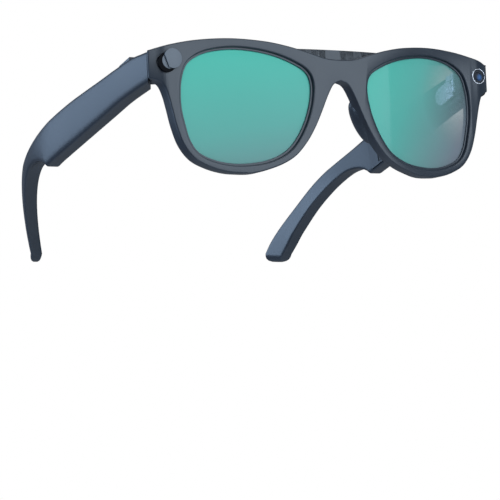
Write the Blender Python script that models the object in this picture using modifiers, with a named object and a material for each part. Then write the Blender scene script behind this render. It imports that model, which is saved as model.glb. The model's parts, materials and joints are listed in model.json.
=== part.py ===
"""Smart glasses: a wrapped plastic front with two cameras and two folding temples full of electronics.

Frames used here, all in metres:
  front frame   X to the wearer's left, Y to the back, Z up along the front's own plane
  temple frame  origin on the hinge axis, Y back along the housing, Z up across it, X to the wearer's left
The front frame hangs under the empty "stand", which leans it so that the rims and ear tips rest on Z = 0.
"""

import math

import bmesh
import bpy
from mathutils import Matrix, Vector

MM = 0.001
GAP = 0.3 * MM

# Front
FRONT_DEPTH = 5.0 * MM
WRAP_RADIUS = 140.0 * MM
WRAP_EASE = 8.9 * MM
WRAP_REACH = 70.0 * MM
CORNER_START = 64.5 * MM
CORNER_RATE = 60.0
END_DEPTH = 8.9 * MM
LENS_THICKNESS = 2.0 * MM
LENS_SETBACK = 1.8 * MM
LENS_LIP = 0.8 * MM
MITRE_OUTER = (71.6 * MM, 0.2 * MM)
MITRE_INNER = (67.4 * MM, 9.0 * MM)
PLATE_NEAR = 62.2 * MM
PLATE_FAR = 65.1 * MM
PLATE_THICKNESS = 0.6 * MM
NOSE_PAD_PLACE = (11.2 * MM, 5.4 * MM, 19.4 * MM)
NOSE_PAD_RADII = (2.1 * MM, 4.4 * MM, 8.5 * MM)
NOSE_PAD_TURN = math.radians(28)
CONTACT_X = 2.8 * MM
CONTACT_Z = 37.6 * MM
CONTACT_R = 1.05 * MM

# Stance
LEAN = math.radians(8.6)
STAND_Y = -70.65 * MM
STAND_Z = -0.75 * MM

# Cameras
CAMERA_X = 65.9 * MM
CAMERA_Z = 38.6 * MM

# Hinges and temples
HINGE_X = 63.4 * MM
HINGE_Y = 20.4 * MM
HINGE_Z = 38.0 * MM
KNUCKLE_R = 1.7 * MM
PIN_R = 0.7 * MM
TEMPLE_SLOPE = math.radians(15.5)
TEMPLE_SPLAY = math.radians(2.3)
INNER_FACE = 2.2 * MM
TEMPLE_THICKNESS = 6.4 * MM
SKIN = 1.3 * MM
LID = 1.2 * MM
BEND_START = 66.0 * MM
BEND_RATE = 4.4

# Outline of one half of the front, from the brow's middle round the corner to the nose arch's middle.
# A third value of 1 marks a sharp corner.
FRONT_HALF = [
    (0, 40.8, 1), (6, 41.2), (13, 43.2), (21, 45.3), (30, 46.9), (42, 47.7), (54, 47.0), (64, 45.2),
    (71.5, 43.1, 1), (71.3, 33.2, 1), (69.2, 32.6), (67.1, 31.0), (65.7, 27.6), (64.4, 22.6),
    (62.9, 16.4), (60.5, 10.0), (56.5, 5.0), (51.0, 2.1), (45.5, 0.5), (41.0, 0.0), (35.0, 0.0),
    (29.5, 1.3), (24.0, 3.3), (19.0, 6.3), (14.5, 11.2), (11.0, 16.6), (8.2, 22.1), (5.4, 28.0),
    (2.9, 31.9), (0, 33.1, 1),
]
OPENING = [
    (61.1, 27.5), (60.5, 33.2), (58.4, 38.6), (54.2, 41.9), (48.5, 43.8), (41.0, 44.6), (33.0, 44.0),
    (25.0, 42.3), (18.0, 39.6), (13.2, 36.6), (11.3, 32.5), (11.5, 26.8), (13.4, 20.0), (16.8, 13.2),
    (21.5, 7.7), (28.0, 4.3), (35.0, 2.9), (42.0, 2.7), (49.0, 4.0), (54.8, 6.7), (58.1, 11.2),
    (59.9, 17.4), (60.9, 22.5),
]
END_BLOCK = [(62.0, 34.6, 1), (63.6, 33.6, 1), (71.2, 33.4, 1), (71.3, 42.9, 1), (62.0, 44.8, 1)]

# Side outline of a temple in its own frame (Y back, Z up): along the top to the ear tip and back below.
TEMPLE_SIDE = [
    (-13.0, 1.8, 1), (3.0, 5.3), (26.0, 7.3), (48.0, 9.0), (64.0, 9.3), (76.0, 8.5), (87.0, 7.3), (98.0, 5.6),
    (109.0, 1.6), (118.0, -3.8), (125.5, -9.0), (131.0, -14.0), (135.3, -20.0), (135.6, -23.0),
    (132.8, -24.4), (128.9, -23.4), (125.8, -20.0), (119.5, -13.4), (111.5, -7.0), (104.0, -3.0),
    (97.0, -0.6), (90.0, 0.4), (84.0, -0.2), (79.0, -2.2), (74.4, -6.1, 1), (12.0, -6.1, 1),
    (-13.0, -8.3, 1),
]
CAVITY_SIDE = [
    (14.0, -4.2, 1), (14.0, 4.6, 1), (48.0, 7.0, 1), (66.0, 7.2, 1), (69.5, 5.0, 1), (69.5, -4.2, 1),
]
LID_SIDE = [
    (12.0, -5.2, 1), (12.0, 5.0, 1), (26.0, 6.2, 1), (48.0, 8.0, 1), (66.0, 8.2, 1), (71.5, 6.6, 1),
    (71.5, -5.2, 1),
]

# Side outline of the hinge leaf's plate, square at the hinge and rounded at its back.
LEAF_SIDE = [
    (4.5, -3.3, 1), (4.5, 3.3, 1), (12.4, 3.3), (14.4, 2.8), (15.8, 1.6), (16.4, 0.0), (15.8, -1.6),
    (14.4, -2.8), (12.4, -3.3),
]

# Heights of the three knuckles of a hinge; the middle one belongs to the front.
KNUCKLES = [(34.8, 36.7), (37.0, 39.0), (39.3, 41.2)]


# ---------------------------------------------------------------- scene helpers

def clear_scene():
    for obj in list(bpy.data.objects):
        bpy.data.objects.remove(obj, do_unlink=True)


def new_collection(name):
    collection = bpy.data.collections.new(name)
    bpy.context.scene.collection.children.link(collection)
    return collection


def finish_material(name, colour, roughness, metallic=0.0):
    mat = bpy.data.materials.new(name)
    mat.use_nodes = True
    shader = mat.node_tree.nodes["Principled BSDF"]
    shader.inputs["Base Color"].default_value = (*colour, 1.0)
    shader.inputs["Roughness"].default_value = roughness
    shader.inputs["Metallic"].default_value = metallic
    return mat


def empty(name, parent=None, location=(0, 0, 0), rotation=(0, 0, 0)):
    obj = bpy.data.objects.new(name, None)
    obj.location = location
    obj.rotation_euler = rotation
    obj.parent = parent
    GLASSES.objects.link(obj)
    return obj


def add_piece(name, mesh, parent, mat, location=(0, 0, 0)):
    obj = bpy.data.objects.new(name, mesh)
    obj.location = location
    obj.parent = parent
    obj.data.materials.clear()
    obj.data.materials.append(mat)
    obj.data.shade_smooth()
    obj.data.set_sharp_from_angle(angle=math.radians(35))
    GLASSES.objects.link(obj)
    return obj


# ---------------------------------------------------------------- shape helpers

def smooth_loop(points, steps, mirror=1):
    """Catmull-Rom curve through a closed list of points in mm; marked points stay sharp."""
    loop = []
    count = len(points)
    for i in range(count):
        p0, p1, p2, p3 = (points[(i + k) % count] for k in (-1, 0, 1, 2))
        sharp1 = len(p1) > 2
        sharp2 = len(p2) > 2
        if sharp1 and sharp2:
            loop.append((p1[0] * mirror * MM, p1[1] * MM))
            continue
        a, b = Vector(p1[:2]), Vector(p2[:2])
        before = b if sharp1 else Vector(p0[:2])
        after = a if sharp2 else Vector(p3[:2])
        start = (b - a) if sharp1 else (b - before) / 2
        end = (b - a) if sharp2 else (after - a) / 2
        for k in range(steps):
            t = k / steps
            p = (a * (2 * t**3 - 3 * t**2 + 1) + start * (t**3 - 2 * t**2 + t)
                 + b * (-2 * t**3 + 3 * t**2) + end * (t**3 - t**2))
            loop.append((p.x * mirror * MM, p.y * MM))
    return loop


def grow(loop, distance):
    """Moves a closed loop outwards by a distance, square to itself."""
    area = sum(a[0] * b[1] - b[0] * a[1] for a, b in zip(loop, loop[1:] + loop[:1]))
    turn = 1 if area > 0 else -1
    grown = []
    for before, here, after in zip(loop[-1:] + loop[:-1], loop, loop[1:] + loop[:1]):
        run = Vector((after[0] - before[0], after[1] - before[1])).normalized()
        grown.append((here[0] + run.y * distance * turn, here[1] - run.x * distance * turn))
    return grown


TO_FRONT = Matrix(((1, 0, 0), (0, 0, -1), (0, 1, 0)))
TO_SIDE = Matrix(((0, 0, 1), (1, 0, 0), (0, 1, 0)))


def slab(loops, low, high, facing):
    """A flat outline with holes, given thickness from low to high along Y (front) or X (side)."""
    curve = bpy.data.curves.new("outline", "CURVE")
    curve.dimensions = "2D"
    curve.fill_mode = "BOTH"
    curve.extrude = (high - low) / 2
    for loop in loops:
        spline = curve.splines.new("POLY")
        spline.points.add(len(loop) - 1)
        spline.use_cyclic_u = True
        for point, (u, v) in zip(spline.points, loop):
            point.co = (u, v, 0, 1)
    holder = bpy.data.objects.new("outline", curve)
    CUTTERS.objects.link(holder)
    graph = bpy.context.evaluated_depsgraph_get()
    mesh = bpy.data.meshes.new_from_object(holder.evaluated_get(graph))
    bpy.data.objects.remove(holder)
    middle = (low + high) / 2
    shift = Vector((0, middle, 0)) if facing is TO_FRONT else Vector((middle, 0, 0))
    mesh.transform(Matrix.Translation(shift) @ facing.to_4x4())
    weld(mesh)
    return mesh


def weld(mesh):
    bm = bmesh.new()
    bm.from_mesh(mesh)
    bmesh.ops.remove_doubles(bm, verts=bm.verts, dist=0.002 * MM)
    bmesh.ops.recalc_face_normals(bm, faces=bm.faces)
    bm.to_mesh(mesh)
    bm.free()


def block(low, high):
    """A box mesh between two corners."""
    bm = bmesh.new()
    bmesh.ops.create_cube(bm, size=1.0)
    size = [b - a for a, b in zip(low, high)]
    middle = [(a + b) / 2 for a, b in zip(low, high)]
    bmesh.ops.scale(bm, vec=size, verts=bm.verts)
    bmesh.ops.translate(bm, vec=middle, verts=bm.verts)
    mesh = bpy.data.meshes.new("block")
    bm.to_mesh(mesh)
    bm.free()
    return mesh


AXES = {"X": Matrix.Rotation(math.radians(90), 4, "Y"), "Y": Matrix.Rotation(math.radians(90), 4, "X"),
        "Z": Matrix.Identity(4)}


def rod(radius, length, centre, axis="Y", sides=28):
    """A closed cylinder mesh, its centre and its axis given."""
    bm = bmesh.new()
    bmesh.ops.create_cone(bm, cap_ends=True, segments=sides, radius1=radius, radius2=radius, depth=length)
    bmesh.ops.transform(bm, matrix=Matrix.Translation(centre) @ AXES[axis], verts=bm.verts)
    mesh = bpy.data.meshes.new("rod")
    bm.to_mesh(mesh)
    bm.free()
    return mesh


def combine(mesh, other, operation):
    """Applies one Boolean of two closed meshes and gives the new mesh."""
    body = bpy.data.objects.new("body", mesh)
    tool = bpy.data.objects.new("tool", other)
    CUTTERS.objects.link(body)
    CUTTERS.objects.link(tool)
    change = body.modifiers.new("change", "BOOLEAN")
    change.operation = operation
    change.object = tool
    change.solver = "EXACT"
    graph = bpy.context.evaluated_depsgraph_get()
    result = bpy.data.meshes.new_from_object(body.evaluated_get(graph))
    bpy.data.objects.remove(body)
    bpy.data.objects.remove(tool)
    weld(result)
    return result


def cut(mesh, *tools):
    for tool in tools:
        mesh = combine(mesh, tool, "DIFFERENCE")
    return mesh


def fuse(mesh, *others):
    for other in others:
        mesh = combine(mesh, other, "UNION")
    return mesh


def bend(mesh, along, across, stations, shift):
    """Slices a mesh at stations of one axis and shifts each vertex along another by shift(station)."""
    bm = bmesh.new()
    bm.from_mesh(mesh)
    normal = Vector((0, 0, 0))
    normal[along] = 1.0
    for station in stations:
        geometry = bm.verts[:] + bm.edges[:] + bm.faces[:]
        bmesh.ops.bisect_plane(bm, geom=geometry, dist=0.001 * MM, plane_co=normal * station, plane_no=normal)
    for vert in bm.verts:
        vert.co[across] += shift(vert.co[along])
    bm.to_mesh(mesh)
    bm.free()
    return mesh


def soften(obj, width, segments=1, angle=40):
    bevel = obj.modifiers.new("edges", "BEVEL")
    bevel.width = width
    bevel.segments = segments
    bevel.limit_method = "ANGLE"
    bevel.angle_limit = math.radians(angle)
    bevel.use_clamp_overlap = True


def wrap(x):
    """How far back the front's face lies at a distance x from the middle."""
    corner = CORNER_RATE * max(0.0, abs(x) - CORNER_START) ** 2
    return x * x / (2 * WRAP_RADIUS) - WRAP_EASE * (x / WRAP_REACH) ** 4 + corner


def wrapped(mesh):
    stations = [k * 6.0 * MM for k in range(-11, 12)]
    return bend(mesh, 0, 1, stations, wrap)


def face_y(x, depth):
    """Y of a point at a depth behind the front's face."""
    return wrap(x) + depth


def mirror_points(points):
    """The whole outline from its half, without doubling the two middle points."""
    other = [(-p[0], *p[1:]) for p in reversed(points[1:-1])]
    return points + other


def shave(mesh, parent):
    """Cuts away what lies below the surface that the glasses rest on, which leaves small flat feet."""
    bpy.context.view_layer.update()
    floor = block((-200 * MM, -200 * MM, -20 * MM), (200 * MM, 200 * MM, 0))
    floor.transform(parent.matrix_world.inverted())
    return cut(mesh, floor)


# ---------------------------------------------------------------- front

def upright_prism(corners, low, high, side):
    """A solid on four corners in plan, mirrored for the other side of the face."""
    bm = bmesh.new()
    rings = [[bm.verts.new((corner.x * side, corner.y, z)) for corner in corners] for z in (low, high)]
    bm.faces.new(rings[0])
    bm.faces.new(rings[1])
    for k in range(4):
        n = (k + 1) % 4
        bm.faces.new((rings[0][k], rings[0][n], rings[1][n], rings[1][k]))
    bmesh.ops.recalc_face_normals(bm, faces=bm.faces)
    mesh = bpy.data.meshes.new("prism")
    bm.to_mesh(mesh)
    bm.free()
    return mesh


def front_mitre(side):
    """Removes what lies outside the mitre between front and temple, before the front is wrapped."""
    outer, inner = Vector(MITRE_OUTER), Vector(MITRE_INNER)
    run = (inner - outer).normalized()
    start = outer - run * 6 * MM
    end = outer + run * 20 * MM
    far = Vector((run.y, -run.x)) * 20 * MM
    return upright_prism([start, end, end + far, start + far], 20 * MM, 60 * MM, side)


def nose_pad_bump(side):
    """The pad moulded on the back of the rim beside the nose."""
    bm = bmesh.new()
    bmesh.ops.create_uvsphere(bm, u_segments=16, v_segments=10, radius=1.0)
    x, y, z = NOSE_PAD_PLACE
    place = (Matrix.Translation((side * x, y, z)) @ Matrix.Rotation(-side * NOSE_PAD_TURN, 4, "Y")
             @ Matrix.Diagonal((*NOSE_PAD_RADII, 1.0)))
    bmesh.ops.transform(bm, matrix=place, verts=bm.verts)
    mesh = bpy.data.meshes.new("pad")
    bm.to_mesh(mesh)
    bm.free()
    return mesh


def build_front():
    outline = smooth_loop(mirror_points(FRONT_HALF), 3)
    openings = [smooth_loop(OPENING, 3, side) for side in (1, -1)]
    body = slab([outline] + openings, 0, FRONT_DEPTH, TO_FRONT)
    for side in (1, -1):
        end_loop = smooth_loop(END_BLOCK, 1, side)
        body = fuse(body, slab([end_loop], FRONT_DEPTH - 0.6 * MM, END_DEPTH, TO_FRONT))
        body = fuse(body, nose_pad_bump(side))
    for side, opening in zip((1, -1), openings):
        groove = slab([grow(opening, LENS_LIP + GAP)], LENS_SETBACK - GAP,
                      LENS_SETBACK + LENS_THICKNESS + GAP, TO_FRONT)
        body = cut(body, groove, front_mitre(side))
        mouth = 3.0 if side > 0 else 3.35
        deep = 1.9 if side > 0 else 3.7
        body = cut(body, rod(mouth * MM, 2 * deep * MM, (side * CAMERA_X, 0, CAMERA_Z)))
        body = cut(body, rod(2.0 * MM, 12.4 * MM, (side * CAMERA_X, 0, CAMERA_Z)))
        contact_seat = (side * CONTACT_X, FRONT_DEPTH, CONTACT_Z)
        body = cut(body, rod(CONTACT_R + 0.35 * MM, 2 * MM, contact_seat, sides=20))
    body = cut(body, block((-1.7 * MM, 3.3 * MM, 34.2 * MM), (1.7 * MM, 6 * MM, 35.8 * MM)))
    add_piece("front_frame", shave(wrapped(body), STAND), STAND, SATIN)
    for side, opening, name in zip((1, -1), openings, ("lens_left", "lens_right")):
        lens = slab([grow(opening, LENS_LIP)], LENS_SETBACK, LENS_SETBACK + LENS_THICKNESS, TO_FRONT)
        add_piece(name, wrapped(lens), STAND, LENS)
    for side, name in ((1, "left"), (-1, "right")):
        x = side * CONTACT_X
        contact = rod(CONTACT_R, 0.8 * MM, (x, face_y(x, FRONT_DEPTH - 0.15 * MM), CONTACT_Z), sides=20)
        add_piece(f"charge_contact_{name}", contact, STAND, GOLD)
    add_piece("bridge_microphone", block((-1.4 * MM, 3.65 * MM, 34.5 * MM), (1.4 * MM, 4.8 * MM, 35.5 * MM)),
              STAND, STEEL)


def ring(outer, inner, low, high, centre, sides=32):
    """A flat ring along Y between two depths."""
    x, z = centre
    middle = (x, (low + high) / 2, z)
    body = rod(outer, high - low, middle, sides=sides)
    return cut(body, rod(inner, 3 * (high - low), middle, sides=sides))


def build_camera(side, name, ring_outer, ring_inner, first):
    """The trim ring, window, barrel and sensor of one camera; first is the ring's depth behind the face."""
    x = side * CAMERA_X
    y = face_y(x, first)
    centre = (x, CAMERA_Z)
    barrel_r = min(ring_inner - 0.5 * MM, 1.65 * MM)
    trim = ring(ring_outer, ring_inner, y, y + 1.0 * MM, centre)
    add_piece(f"camera_trim_ring_{name}", trim, STAND, CHROME)
    window = rod(ring_inner - GAP, 0.7 * MM, (x, y + 0.5 * MM, CAMERA_Z))
    add_piece(f"camera_window_{name}", window, STAND, BLACK_GLASS)
    barrel_y = y + 1.2 * MM
    barrel = rod(barrel_r, 2.6 * MM, (x, barrel_y + 1.3 * MM, CAMERA_Z), sides=24)
    add_piece(f"camera_barrel_{name}", barrel, STAND, BLACK)
    half = 1.25 * MM
    sensor_y = barrel_y + 2.9 * MM
    sensor = block((x - half, sensor_y, CAMERA_Z - half), (x + half, sensor_y + 0.6 * MM, CAMERA_Z + half))
    add_piece(f"camera_sensor_{name}", sensor, STAND, BOARD)


COVER_R = 3.5 * MM
COVER_FACE = 0.42 * MM
COVER_PLATE = 0.5 * MM
SLIDE_TURN = math.radians(35)
CHORD_TURN = math.radians(15)
CHORD_REACH = 2.6 * MM
SLIDE_TRAVEL = 2.4 * MM


def build_cover():
    """The camera cover pushed into the wearer's right bore, and the disc that slides across it.

    The cover's frame has its origin on the face at the bore's axis and X along the slide's opening way.
    """
    frame = empty("cover_frame", STAND, (-CAMERA_X, face_y(CAMERA_X, 0), CAMERA_Z), (0, -SLIDE_TURN, 0))
    flange_back = -COVER_FACE
    flange_front = flange_back - COVER_PLATE
    body = rod(COVER_R, COVER_PLATE, (0, (flange_front + flange_back) / 2, 0), sides=40)
    wall = ring(3.05 * MM, 2.65 * MM, flange_front + 0.2 * MM, 3.2 * MM, (0, 0), 40)
    body = fuse(body, wall)
    body = cut(body, block((-2.2 * MM, -3 * MM, -1.6 * MM), (1.0 * MM, 1 * MM, 1.6 * MM)))
    body = cut(body, block((-4 * MM, 0.7 * MM, -1.5 * MM), (4 * MM, 2.4 * MM, 1.5 * MM)))
    track_back = flange_front + 0.25 * MM
    body = cut(body, block((-4 * MM, flange_front - 1 * MM, -1.9 * MM), (4 * MM, track_back, 1.9 * MM)))
    add_piece("cover_body", body, frame, BLACK)
    disc_back = flange_front - GAP
    disc_front = disc_back - 0.5 * MM
    disc = rod(COVER_R, 0.5 * MM, (SLIDE_TRAVEL, (disc_front + disc_back) / 2, 0), sides=40)
    tongue = block((0.6 * MM, disc_back - 0.2 * MM, -1.5 * MM), (4.2 * MM, disc_back + 0.2 * MM, 1.5 * MM))
    disc = fuse(disc, tongue)
    chord = block((-6 * MM, -4 * MM, -6 * MM), (-CHORD_REACH, 0, 6 * MM))
    chord.transform(Matrix.Translation((SLIDE_TRAVEL, 0, 0)) @ Matrix.Rotation(CHORD_TURN, 4, "Y"))
    add_piece("cover_slider", cut(disc, chord), frame, BLACK)


# ---------------------------------------------------------------- hinges

def knuckle(x, y, low, high):
    return rod(KNUCKLE_R, high - low, (x, y, (low + high) / 2), "Z", 24)


def pin_hole(x, y):
    return rod(PIN_R + GAP, 20 * MM, (x, y, HINGE_Z), "Z", 20)


def build_hinge(side, name):
    """The front plate with the middle knuckle, its screws, and the pin, all in the front frame."""
    x = side * HINGE_X
    back = face_y(PLATE_FAR, END_DEPTH)
    low, high = (v * MM for v in KNUCKLES[1])
    near, far = sorted((side * PLATE_NEAR, side * PLATE_FAR))
    plate = block((near, back + GAP, 34.6 * MM), (far, back + GAP + PLATE_THICKNESS, 41.4 * MM))
    plate = fuse(plate, knuckle(x, HINGE_Y, low, high))
    tab_low, tab_high = x - 0.8 * MM, x + 0.8 * MM
    plate = fuse(plate, block((tab_low, back + GAP + 0.3 * MM, low), (tab_high, HINGE_Y, high)))
    plate = cut(plate, pin_hole(x, HINGE_Y))
    for level, z in (("upper", 40.2 * MM), ("lower", 35.8 * MM)):
        seat_x = side * (PLATE_NEAR + PLATE_FAR) / 2
        plate = cut(plate, rod(0.85 * MM, 4 * MM, (seat_x, back, z), sides=14))
        screw = rod(0.55 * MM, 0.7 * MM, (seat_x, back + GAP + 0.35 * MM, z), sides=14)
        add_piece(f"hinge_screw_{level}_{name}", screw, STAND, STEEL)
    add_piece(f"hinge_plate_{name}", plate, STAND, STEEL)
    pin = rod(PIN_R, 6.8 * MM, (x, HINGE_Y, HINGE_Z), "Z", 16)
    add_piece(f"hinge_pin_{name}", pin, STAND, STEEL)


def temple_frame(side, name):
    """Empties for one temple: its origin on the hinge axis, then its slope and its splay."""
    pivot = empty(f"pivot_{name}", STAND, (side * HINGE_X, HINGE_Y, HINGE_Z))
    return empty(f"temple_frame_{name}", pivot, (0, 0, 0), (-TEMPLE_SLOPE, 0, -side * TEMPLE_SPLAY)), pivot


def build_hinge_leaf(side, name, frame, pivot):
    """The bright leaf on the temple's inner face, with the outer two knuckles."""
    low, high = sorted((side * 0.9 * MM, side * (INNER_FACE - GAP)))
    leaf = slab([smooth_loop(LEAF_SIDE, 2)], low, high, TO_SIDE)
    leaf.transform(frame_in_pivot(side))
    for first, last in (KNUCKLES[0], KNUCKLES[2]):
        bottom, top = (first * MM - HINGE_Z, last * MM - HINGE_Z)
        leaf = fuse(leaf, knuckle(0, 0, bottom, top))
        left, right = sorted((side * 0.3 * MM, side * 1.3 * MM))
        leaf = fuse(leaf, block((left, 0.2 * MM, bottom), (right, 6.5 * MM, top)))
    leaf = cut(leaf, rod(PIN_R + GAP, 20 * MM, (0, 0, 0), "Z", 20))
    add_piece(f"hinge_leaf_{name}", leaf, pivot, STEEL)


def frame_in_pivot(side):
    return Matrix.Rotation(-side * TEMPLE_SPLAY, 4, "Z") @ Matrix.Rotation(-TEMPLE_SLOPE, 4, "X")


# ---------------------------------------------------------------- temples

def ear_bend(y):
    """How far the temple has turned in towards the head at a distance along it."""
    if y <= BEND_START:
        return 0.0
    return -BEND_RATE * (y - BEND_START) ** 2


def bent_temple(mesh, side):
    stations = [BEND_START + k * 8.0 * MM for k in range(9)]
    return bend(mesh, 1, 0, stations, lambda y: side * ear_bend(y))


def side_slab(side, loops, low, high):
    """A slab in the temple frame between two distances outwards from the hinge axis."""
    first, last = sorted((side * low, side * high))
    return slab(loops, first, last, TO_SIDE)


def temple_mitre(side):
    """Removes the temple's material on the front's side of the mitre, with the seam's gap."""
    outer = Vector((MITRE_OUTER[0], face_y(MITRE_OUTER[0], MITRE_OUTER[1])))
    inner = Vector((MITRE_INNER[0], face_y(MITRE_INNER[0], MITRE_INNER[1])))
    run = (inner - outer).normalized()
    out = Vector((run.y, -run.x))
    start = outer + out * 1.2 * GAP - run * 12 * MM
    end = inner + out * 1.2 * GAP
    return upright_prism([start, end, end - out * 14 * MM, start - out * 14 * MM], 10 * MM, 60 * MM, side)


def temple_end_cutters(side):
    """The mitre and the square end that the temple's front is trimmed to, in the temple frame."""
    to_temple = (Matrix.Translation((side * HINGE_X, HINGE_Y, HINGE_Z)) @ frame_in_pivot(side)).inverted()
    first, last = sorted((0, side * (MITRE_INNER[0] + 0.5 * MM)))
    back = face_y(MITRE_INNER[0], END_DEPTH) + 0.4 * MM
    cutters = [temple_mitre(side), block((first, -20 * MM, 0), (last, back, 60 * MM))]
    for mesh in cutters:
        mesh.transform(to_temple)
    return cutters


def build_temple(side, name, extra_cuts, lid_cuts):
    frame, pivot = temple_frame(side, name)
    inner = INNER_FACE
    outer = INNER_FACE + TEMPLE_THICKNESS
    shell = side_slab(side, [smooth_loop(TEMPLE_SIDE, 3)], inner, outer)
    pocket = side_slab(side, [smooth_loop(CAVITY_SIDE, 1)], inner - 1 * MM, outer - SKIN)
    lid_seat = side_slab(side, [grow(smooth_loop(LID_SIDE, 1), GAP)], inner - 1 * MM, inner + LID + GAP)
    shell = cut(shell, pocket, lid_seat, *temple_end_cutters(side))
    for low, high in extra_cuts:
        shell = cut(shell, block(low, high))
    shell = cut(shell, rod(0.5 * MM, 6 * MM, (side * (inner + 3.2 * MM), 62 * MM, -6 * MM), "Z", 12))
    add_piece(f"temple_shell_{name}", shave(bent_temple(shell, side), frame), frame, SATIN)
    lid = side_slab(side, [smooth_loop(LID_SIDE, 1)], inner, inner + LID)
    for low, high in lid_cuts:
        lid = cut(lid, block(low, high))
    add_piece(f"temple_cover_{name}", bent_temple(lid, side), frame, SATIN)
    build_hinge_leaf(side, name, frame, pivot)
    return frame


def inside(side, frame, name, low, high, mat, cuts=()):
    """A box in the temple's cavity: low and high are (depth from the hinge axis, Y, Z) in mm."""
    first, last = sorted((side * low[0] * MM, side * high[0] * MM))
    mesh = block((first, low[1] * MM, low[2] * MM), (last, high[1] * MM, high[2] * MM))
    for tool in cuts:
        mesh = cut(mesh, tool)
    return add_piece(name, mesh, frame, mat)


def side_box(side, low, high):
    """Corners of a cutting box from (depth, Y, Z) values in mm."""
    first, last = sorted((side * low[0] * MM, side * high[0] * MM))
    return (first, low[1] * MM, low[2] * MM), (last, high[1] * MM, high[2] * MM)


def grille(side, frame, name):
    """The slotted cover over a speaker's mouth, seated in the lid."""
    first, last = sorted((side * (INNER_FACE + 0.2 * MM), side * (INNER_FACE + 0.9 * MM)))
    mesh = block((first, 54.3 * MM, -4.0 * MM), (last, 65.7 * MM, -1.0 * MM))
    for k in range(5):
        y = (56.0 + 2.0 * k) * MM
        mesh = cut(mesh, block((first - MM, y - 0.4 * MM, -3.5 * MM), (last + MM, y + 0.4 * MM, -1.5 * MM)))
    add_piece(name, mesh, frame, STEEL)


def build_right_temple():
    button_cut = side_box(-1, (INNER_FACE / MM + 1.6, 4.7, 3.9), (INNER_FACE / MM + 4.8, 13.3, 12))
    plunger_hole = side_box(-1, (INNER_FACE / MM + 2.5, 8.0, 1.0), (INNER_FACE / MM + 3.9, 10.0, 5))
    switch_cut = side_box(-1, (INNER_FACE / MM - 1, 6.9, 0.2), (INNER_FACE / MM + 4.6, 14.5, 2.4))
    mouth = side_box(-1, (INNER_FACE / MM - 1, 54.0, -4.3), (INNER_FACE / MM + 3, 66.0, -0.7))
    frame = build_temple(-1, "right", [button_cut, plunger_hole, switch_cut], [mouth])
    button = block((-7.0 * MM, 5.0 * MM, 4.7 * MM), (-4.1 * MM, 13.0 * MM, 7.0 * MM))
    button = fuse(button, block((-5.9 * MM, 8.3 * MM, 3.0 * MM), (-4.9 * MM, 9.7 * MM, 5.0 * MM)))
    soften(add_piece("capture_button", button, frame, SATIN), 0.25 * MM)
    inside(-1, frame, "button_switch", (3.2, 7.2, 0.5), (6.4, 11.5, 2.1), STEEL)
    inside(-1, frame, "main_board", (6.0, 16.0, -3.8), (6.6, 52.0, 4.2), BOARD)
    inside(-1, frame, "processor_shield", (4.0, 24.0, -3.0), (5.7, 40.0, 3.6), STEEL)
    inside(-1, frame, "touch_sensor", (6.9, 18.0, -3.0), (7.1, 50.0, 3.4), GOLD)
    inside(-1, frame, "speaker_right", (3.9, 54.5, -3.8), (7.0, 68.0, 4.0), BLACK)
    grille(-1, frame, "speaker_grille_right")
    inside(-1, frame, "microphone_right", (3.9, 47.0, 4.6), (5.6, 51.0, 6.0), STEEL)


def build_left_temple():
    slot = side_box(1, (INNER_FACE / MM - 1, 20.0, -1.1), (INNER_FACE / MM + 3, 27.0, 1.1))
    mouth = side_box(1, (INNER_FACE / MM - 1, 54.0, -4.3), (INNER_FACE / MM + 3, 66.0, -0.7))
    frame = build_temple(1, "left", [], [slot, mouth])
    key = block((1.9 * MM, 20.4 * MM, -0.8 * MM), (3.9 * MM, 24.4 * MM, 0.8 * MM))
    soften(add_piece("power_switch", key, frame, BLACK), 0.2 * MM)
    inside(1, frame, "power_switch_body", (4.3, 19.0, -2.0), (5.9, 28.0, 2.0), STEEL)
    inside(1, frame, "battery_board", (6.4, 15.0, -3.8), (6.9, 29.5, 4.2), BOARD)
    soften(inside(1, frame, "battery", (3.9, 30.0, -3.8), (7.0, 53.5, 5.0), BATTERY), 0.5 * MM)
    inside(1, frame, "speaker_left", (3.9, 54.5, -3.8), (7.0, 68.0, 4.0), BLACK)
    grille(1, frame, "speaker_grille_left")
    inside(1, frame, "microphone_left", (3.9, 14.6, -3.8), (5.6, 18.4, -2.4), STEEL)


# ---------------------------------------------------------------- assembly

def main():
    build_front()
    build_camera(1, "left", 2.85 * MM, 2.4 * MM, -0.15 * MM)
    build_camera(-1, "right", 2.35 * MM, 1.9 * MM, 0.3 * MM)
    build_cover()
    for side, name in ((1, "left"), (-1, "right")):
        build_hinge(side, name)
    build_right_temple()
    build_left_temple()


clear_scene()
GLASSES = new_collection("smart_glasses")
CUTTERS = new_collection("cutters")
CUTTERS.hide_render = True

SATIN = finish_material("satin_navy_plastic", (0.035, 0.045, 0.06), 0.35)
LENS = finish_material("green_lens", (0.09, 0.42, 0.38), 0.05)
BLACK = finish_material("black_plastic", (0.012, 0.013, 0.016), 0.35)
BLACK_GLASS = finish_material("camera_glass", (0.01, 0.015, 0.03), 0.05)
CHROME = finish_material("polished_steel", (0.75, 0.76, 0.78), 0.15, 1.0)
STEEL = finish_material("brushed_steel", (0.55, 0.57, 0.6), 0.3, 1.0)
GOLD = finish_material("gold_contact", (0.85, 0.63, 0.3), 0.25, 1.0)
BOARD = finish_material("circuit_board", (0.02, 0.12, 0.06), 0.5)
BATTERY = finish_material("battery_pouch", (0.35, 0.36, 0.38), 0.4, 0.6)

STAND = empty("stand", None, (0, STAND_Y, STAND_Z), (LEAN, 0, 0))

main()
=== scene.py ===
# %% [markdown]
# # Smart glasses
# Smart glasses are spectacles with electronics in their temples and a camera in each front corner. The
# CAD model holds every real piece and every joint, and it is loaded first as a fixed frame. Each piece
# made here takes its place from that frame, rides on one of its moving bodies and hides the plain solid
# that it replaces.

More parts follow.
